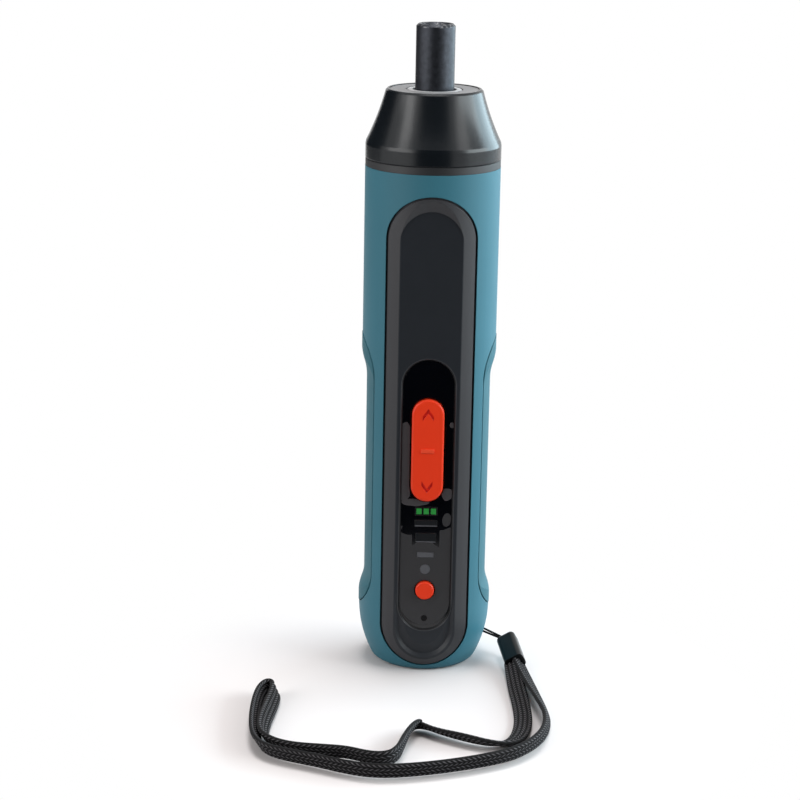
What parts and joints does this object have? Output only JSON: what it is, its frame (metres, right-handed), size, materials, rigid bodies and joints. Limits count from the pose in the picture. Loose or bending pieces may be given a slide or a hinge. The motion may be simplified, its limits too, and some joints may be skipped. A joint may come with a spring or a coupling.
{
  "type": "electric screwdriver",
  "caption": "Slim round battery screwdriver with a hex bit holder, work light nose, front panel with rocker and display, side grips and a wrist strap.",
  "frame": {"origin": "middle of the flat tail face, on the spindle axis", "axes": "+Z along the spindle axis towards the bit, front panel faces -Y, +X to the viewer's right"},
  "size_m": [0.0763, 0.1058, 0.1747],
  "materials": {
    "shell_teal": "soft satin moulded plastic",
    "grip_teal": "soft-touch overmould",
    "panel_black": "fine spark texture",
    "window_black": "polished smoked plastic",
    "switch_orange": "satin moulded plastic",
    "light_green": "lit light guide",
    "light_grey": "unlit light guide",
    "nose_black": "semi-gloss moulded plastic",
    "collar_grey": "matte",
    "lens_frosted": "frosted light diffuser",
    "holder_steel": "black oxide on steel",
    "steel": "turned or stamped",
    "magnet_grey": "plated magnet",
    "gear_steel": "sintered steel",
    "gearbox_plastic": "glass filled nylon",
    "bronze": "sintered bronze and copper",
    "board_green": "solder mask",
    "component_black": "moulded package",
    "led_white": "lamp package",
    "cell_wrap": "shrink sleeve",
    "ferrule_black": "moulded clamp",
    "strap_webbing": "flat braided webbing"
  },
  "bodies": {
    "housing": {"front_shell": "shell_teal", "back_shell": "shell_teal", "left_grip": "grip_teal", "right_grip": "grip_teal", "front_panel": "panel_black", "display_window": "window_black", "speed_light": "light_green", "level_bars": "light_grey", "status_lenses": "light_grey", "nose_cone": "nose_black", "collar_ring": "collar_grey", "work_light_lens": "lens_frosted", "rocker_pin": "holder_steel", "lanyard_bar": "steel", "housing_screws": "steel", "motor_screws": "steel", "thrust_washer": "steel", "motor_can": "steel", "charge_port": "steel", "battery_tabs": "steel", "motor_terminals": "steel", "motor_magnets": "magnet_grey", "motor_brushes": "magnet_grey", "gearbox_housing": "gearbox_plastic", "gearbox_cover": "gearbox_plastic", "motor_end_cap": "gearbox_plastic", "rear_bushing": "bronze", "front_bushing": "bronze", "control_board": "board_green", "charge_board": "board_green", "led_board": "board_green", "tact_switches": "component_black", "board_components": "component_black", "work_leds": "led_white", "battery_cell": "cell_wrap", "strap_ferrule": "ferrule_black", "wrist_strap": "strap_webbing", "lanyard_loop": "strap_webbing"},
    "spindle": {"spindle": "steel", "spindle_clip": "steel", "stage2_pins": "steel", "bit_holder": "holder_steel", "bit_magnet": "magnet_grey", "bit_retaining_ring": "steel"},
    "stage1_carrier": {"stage1_carrier": "gear_steel", "stage1_pins": "steel"},
    "rotor": {"motor_shaft": "steel", "armature_core": "steel", "armature_windings": "bronze", "commutator": "bronze", "motor_pinion": "gear_steel"},
    "rocker": {"rocker_switch": "switch_orange"},
    "mode_button": {"mode_button": "switch_orange"},
    "stage1_planet_1": {"stage1_planet_1": "gear_steel"},
    "stage1_planet_2": {"stage1_planet_2": "gear_steel"},
    "stage1_planet_3": {"stage1_planet_3": "gear_steel"},
    "stage2_planet_1": {"stage2_planet_1": "gear_steel"},
    "stage2_planet_2": {"stage2_planet_2": "gear_steel"},
    "stage2_planet_3": {"stage2_planet_3": "gear_steel"}
  },
  "joints": [
    {"name": "spindle_spin", "type": "hinge", "parent": "housing", "child": "spindle", "pos_m": [0, 0, 0.16], "axis": [0, 0, 1], "continuous": true},
    {"name": "carrier_spin", "type": "hinge", "parent": "housing", "child": "stage1_carrier", "pos_m": [0, 0, 0.11], "axis": [0, 0, 1], "continuous": true},
    {"name": "rotor_spin", "type": "hinge", "parent": "housing", "child": "rotor", "pos_m": [0, 0, 0.09], "axis": [0, 0, 1], "continuous": true},
    {"name": "stage1_planet_1_spin", "type": "hinge", "parent": "stage1_carrier", "child": "stage1_planet_1", "pos_m": [0.006, 0, 0.109], "axis": [0, 0, 1], "continuous": true},
    {"name": "stage1_planet_2_spin", "type": "hinge", "parent": "stage1_carrier", "child": "stage1_planet_2", "pos_m": [-0.003, 0.0052, 0.109], "axis": [0, 0, 1], "continuous": true},
    {"name": "stage1_planet_3_spin", "type": "hinge", "parent": "stage1_carrier", "child": "stage1_planet_3", "pos_m": [-0.003, -0.0052, 0.109], "axis": [0, 0, 1], "continuous": true},
    {"name": "stage2_planet_1_spin", "type": "hinge", "parent": "spindle", "child": "stage2_planet_1", "pos_m": [0.006, 0, 0.115], "axis": [0, 0, 1], "continuous": true},
    {"name": "stage2_planet_2_spin", "type": "hinge", "parent": "spindle", "child": "stage2_planet_2", "pos_m": [-0.003, 0.0052, 0.115], "axis": [0, 0, 1], "continuous": true},
    {"name": "stage2_planet_3_spin", "type": "hinge", "parent": "spindle", "child": "stage2_planet_3", "pos_m": [-0.003, -0.0052, 0.115], "axis": [0, 0, 1], "continuous": true},
    {"name": "rocker_tilt", "type": "hinge", "parent": "housing", "child": "rocker", "pos_m": [0, -0.0122, 0.0634], "axis": [1, 0, 0], "range_deg": [-3.5, 3.5], "stiffness_Nm_per_rad": 0.2},
    {"name": "mode_press", "type": "slide", "parent": "housing", "child": "mode_button", "axis": [0, 1, 0], "range_m": [0, 0.0005], "stiffness_N_per_m": 2000}
  ],
  "couplings": [
    {"joint": "carrier_spin", "follows": "spindle_spin", "ratio": 5},
    {"joint": "rotor_spin", "follows": "spindle_spin", "ratio": 25},
    {"joint": "stage1_planet_1_spin", "follows": "spindle_spin", "ratio": -13.333},
    {"joint": "stage1_planet_2_spin", "follows": "spindle_spin", "ratio": -13.333},
    {"joint": "stage1_planet_3_spin", "follows": "spindle_spin", "ratio": -13.333},
    {"joint": "stage2_planet_1_spin", "follows": "spindle_spin", "ratio": -2.6667},
    {"joint": "stage2_planet_2_spin", "follows": "spindle_spin", "ratio": -2.6667},
    {"joint": "stage2_planet_3_spin", "follows": "spindle_spin", "ratio": -2.6667}
  ]
}
